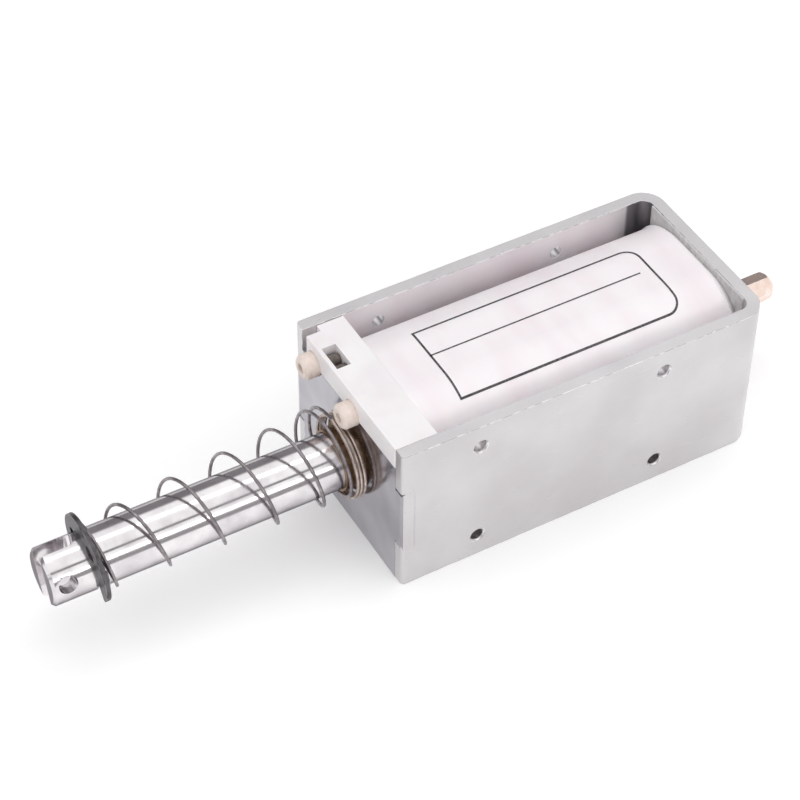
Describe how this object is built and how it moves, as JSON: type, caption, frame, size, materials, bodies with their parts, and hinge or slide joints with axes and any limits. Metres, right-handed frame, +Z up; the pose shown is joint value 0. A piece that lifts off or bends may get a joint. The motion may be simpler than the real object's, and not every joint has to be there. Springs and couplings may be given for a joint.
{
  "type": "push pull solenoid",
  "caption": "Open frame push pull solenoid with a spring returned plunger, a slotted clevis end and a hexagon push tip.",
  "frame": {"origin": "on the resting plane under the middle of the whole length, at the bottom edges of the frame", "axes": "+X along the plunger axis, from the clevis towards the push tip; +Z up, to the open top of the frame"},
  "size_m": [0.2186, 0.056, 0.0474],
  "materials": {
    "zinc_plate": "satin zinc plated steel",
    "bobbin_moulding": "moulded white plastic",
    "enamelled_copper": "enamelled copper wire",
    "wrap_film": "smooth white insulation film",
    "brass": "drawn brass",
    "turned_steel": "ground and polished",
    "copper": "copper",
    "fibre": "vulcanised fibre",
    "insulating_sheet": "pressed insulating board",
    "cream_moulding": "cream insulating bush",
    "spring_wire": "drawn spring wire",
    "black_spring_steel": "black phosphated",
    "hex_brass": "turned hexagon bar"
  },
  "bodies": {
    "housing": {"u_frame": "zinc_plate", "front_plate": "zinc_plate", "bobbin": "bobbin_moulding", "winding": "enamelled_copper", "coil_wrap": "wrap_film", "guide_tube": "brass", "pole_piece": "turned_steel", "shading_ring": "copper", "rod_bush": "brass", "stop_washer": "fibre", "front_insulator": "insulating_sheet", "rear_insulator": "insulating_sheet", "lead_bush_far": "cream_moulding", "lead_bush_near": "cream_moulding", "lead_joint_far": "cream_moulding", "lead_joint_near": "cream_moulding", "return_spring": "spring_wire"},
    "spring_seat": {"e_clip": "black_spring_steel"},
    "plunger": {"plunger": "turned_steel", "push_rod": "turned_steel", "hex_tip": "hex_brass"}
  },
  "joints": [
    {"name": "stroke", "type": "slide", "parent": "housing", "child": "spring_seat", "axis": [1, 0, 0], "range_m": [0, 0.06], "stiffness_N_per_m": 200, "springref_m": -0.015, "deforming": ["return_spring"]},
    {"name": "plunger_turn", "type": "hinge", "parent": "spring_seat", "child": "plunger", "pos_m": [0, 0, 0.0237], "axis": [1, 0, 0], "continuous": true}
  ]
}
